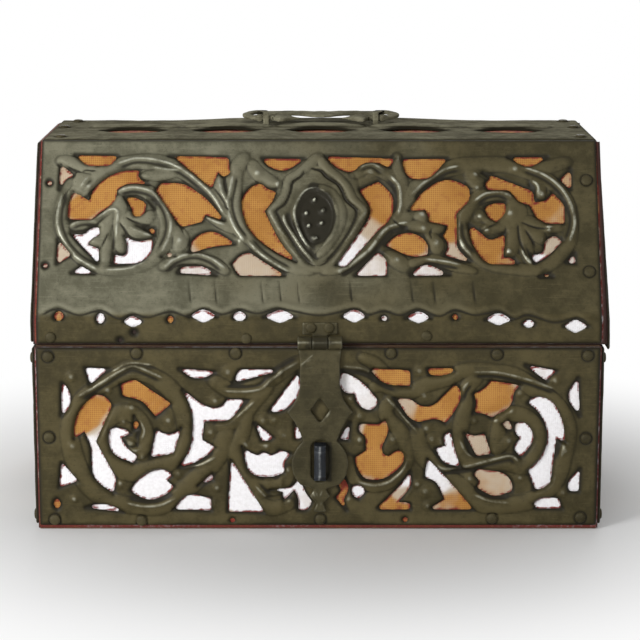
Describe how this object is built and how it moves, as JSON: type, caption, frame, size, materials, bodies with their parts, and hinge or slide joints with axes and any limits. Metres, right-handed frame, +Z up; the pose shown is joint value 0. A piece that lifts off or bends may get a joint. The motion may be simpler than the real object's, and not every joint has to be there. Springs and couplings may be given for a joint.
{
  "type": "iron-bound casket",
  "caption": "Small wooden casket with a sloping lid, covered in cloth and pierced scrollwork iron, with a hasp, a staple, rear hinges and a carrying handle.",
  "frame": {"origin": "centre of the flat face the casket rests on", "axes": "+Z up, +X to the right of the front, +Y to the back"},
  "size_m": [0.2487, 0.1617, 0.1716],
  "materials": {
    "box_iron": "hammered, dark olive brown",
    "lid_iron": "hammered and embossed, worn grey",
    "forged_iron": "forged, rubbed bright on the edges",
    "nail_iron": "forged, faceted",
    "cloth": "faded red weave, worn to orange and white",
    "wood": "old plain boards"
  },
  "bodies": {
    "body": {"base_board": "wood", "body_back_board": "wood", "body_back_cloth": "cloth", "body_back_nails": "nail_iron", "body_back_panel": "box_iron", "body_front_board": "wood", "body_front_cloth": "cloth", "body_front_nails": "nail_iron", "body_front_panel": "box_iron", "body_left_board": "wood", "body_left_cloth": "cloth", "body_left_nails": "nail_iron", "body_left_panel": "box_iron", "body_right_board": "wood", "body_right_cloth": "cloth", "body_right_nails": "nail_iron", "body_right_panel": "box_iron", "hasp_staple": "forged_iron", "hinge_strap_rivets": "nail_iron", "hinge_straps": "forged_iron"},
    "lid": {"handle_eyes": "forged_iron", "hasp_leaf": "forged_iron", "hasp_leaf_rivets": "nail_iron", "hasp_pin": "forged_iron", "hinge_leaf_rivets": "nail_iron", "hinge_leaves": "forged_iron", "lid_back_board": "wood", "lid_back_cloth": "cloth", "lid_back_nails": "nail_iron", "lid_back_panel": "lid_iron", "lid_back_rim_board": "wood", "lid_front_board": "wood", "lid_front_cloth": "cloth", "lid_front_nails": "nail_iron", "lid_front_panel": "lid_iron", "lid_front_rim_board": "wood", "lid_left_board": "wood", "lid_left_cloth": "cloth", "lid_left_nails": "nail_iron", "lid_left_panel": "lid_iron", "lid_right_board": "wood", "lid_right_cloth": "cloth", "lid_right_nails": "nail_iron", "lid_right_panel": "lid_iron", "lid_top_board": "wood", "lid_top_cloth": "cloth", "lid_top_nails": "nail_iron", "lid_top_panel": "lid_iron"},
    "hasp": {"hasp": "forged_iron"},
    "handle": {"handle": "forged_iron"}
  },
  "joints": [
    {"name": "lid_hinge", "type": "hinge", "parent": "body", "child": "lid", "pos_m": [0, 0.0764, 0.0811], "axis": [-1, 0, 0], "range_deg": [0, 105]},
    {"name": "hasp_swing", "type": "hinge", "parent": "lid", "child": "hasp", "pos_m": [0.0008, -0.07755, 0.0832], "axis": [-1, 0, 0], "range_deg": [0, 195]},
    {"name": "handle_swing", "type": "hinge", "parent": "lid", "child": "handle", "pos_m": [0.0012, 0.012, 0.1684], "axis": [1, 0, 0], "range_deg": [-8, 176]}
  ]
}
